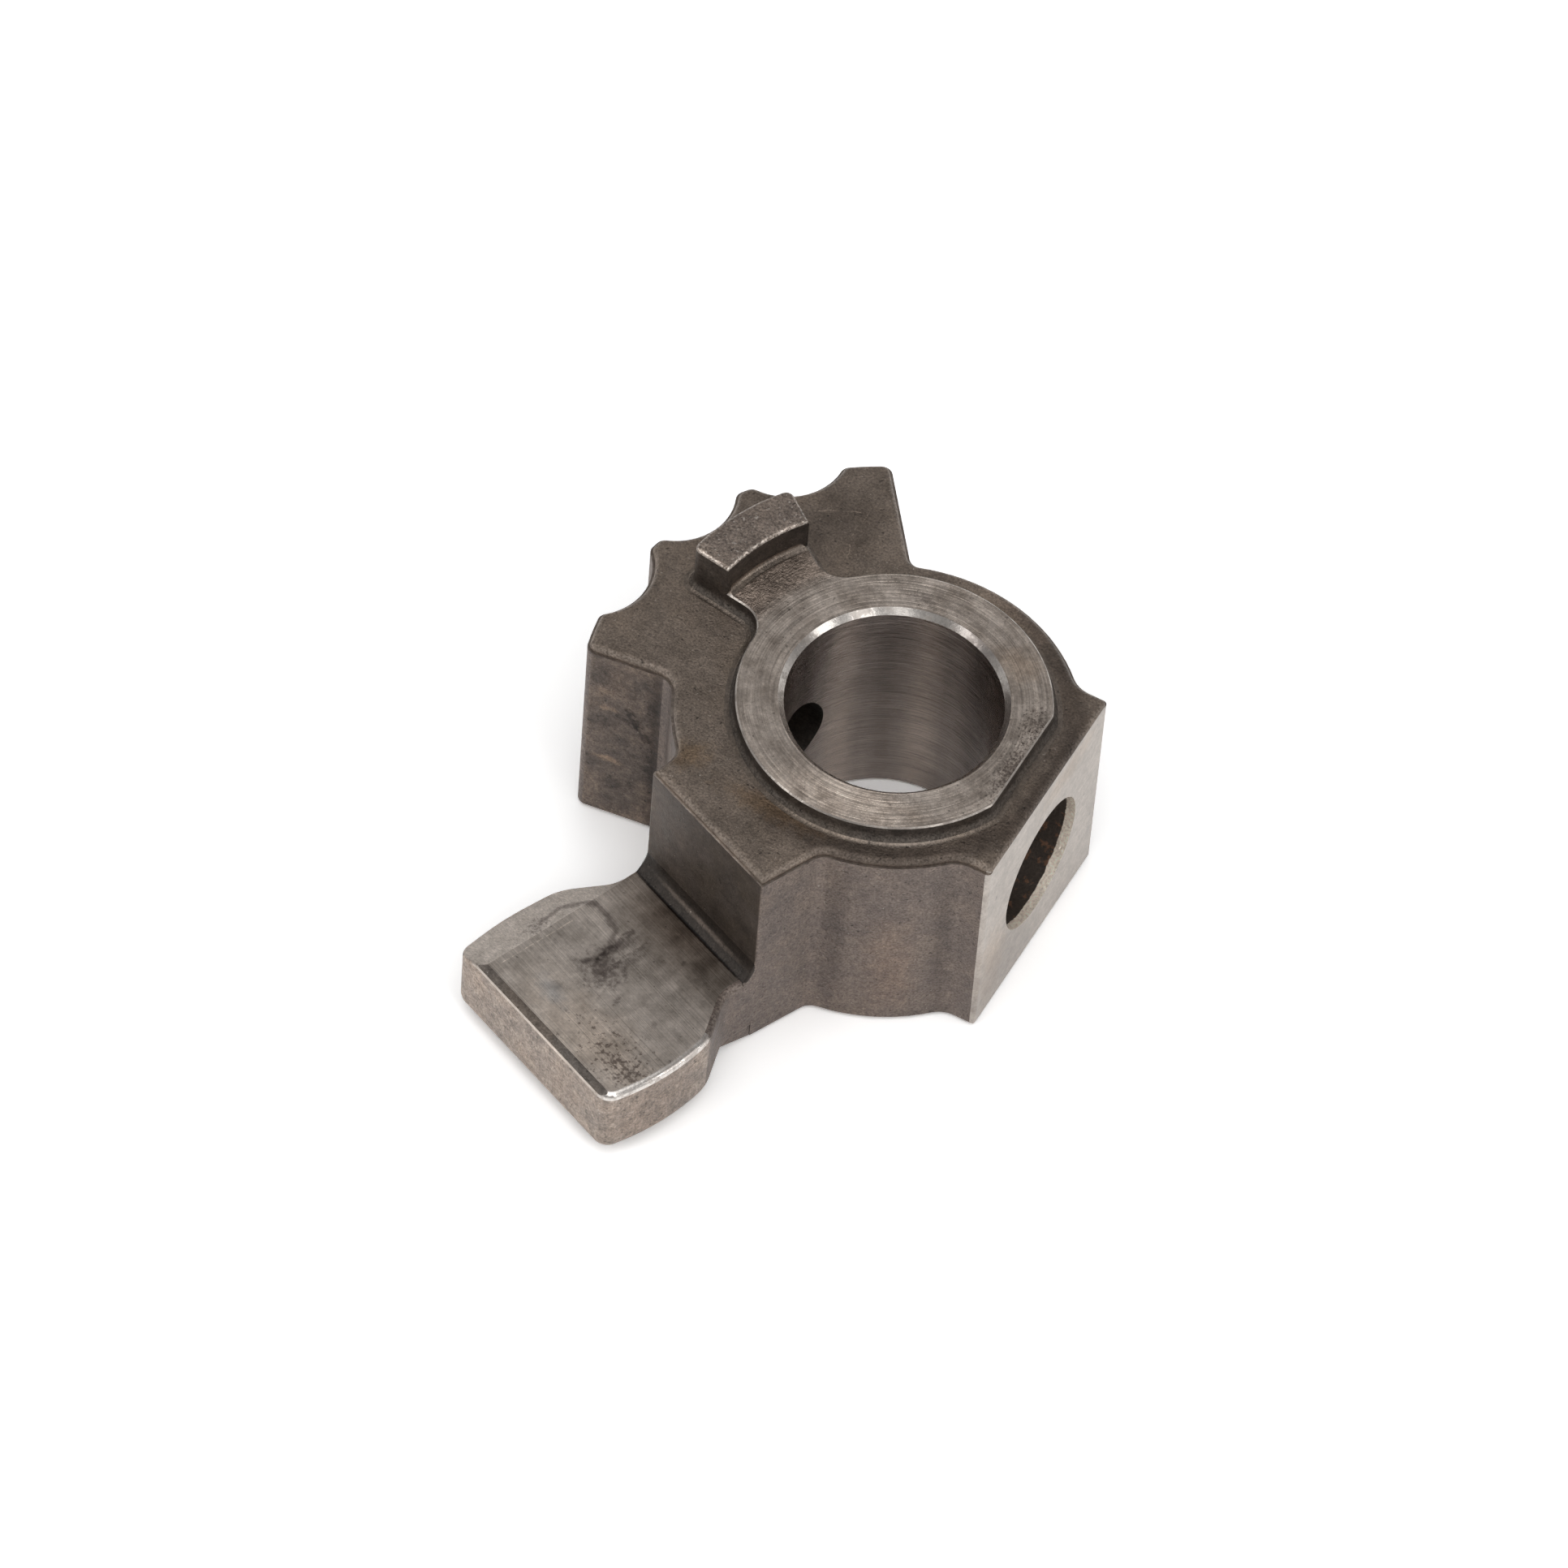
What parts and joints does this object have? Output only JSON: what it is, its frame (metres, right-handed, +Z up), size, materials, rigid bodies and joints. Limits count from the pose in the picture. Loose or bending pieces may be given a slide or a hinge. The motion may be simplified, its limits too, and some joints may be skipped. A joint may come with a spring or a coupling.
{
  "type": "gear selector arm",
  "caption": "Forged steel selector arm with a bored boss, notched detent sector, flat pad with cross hole, stop lug and shift finger.",
  "frame": {"origin": "on the bore axis, in the plane of the underside", "axes": "+Z up the bore axis towards the faced boss and the stop lug; +X is the outward normal of the flat pad with the cross hole; +Y completes the right-handed frame"},
  "size_m": [0.0487, 0.0726, 0.0322],
  "materials": {
    "forged_steel": "as-forged dark steel with machined faces"
  },
  "bodies": {
    "root": {"selector_arm": "forged_steel"}
  },
  "joints": []
}
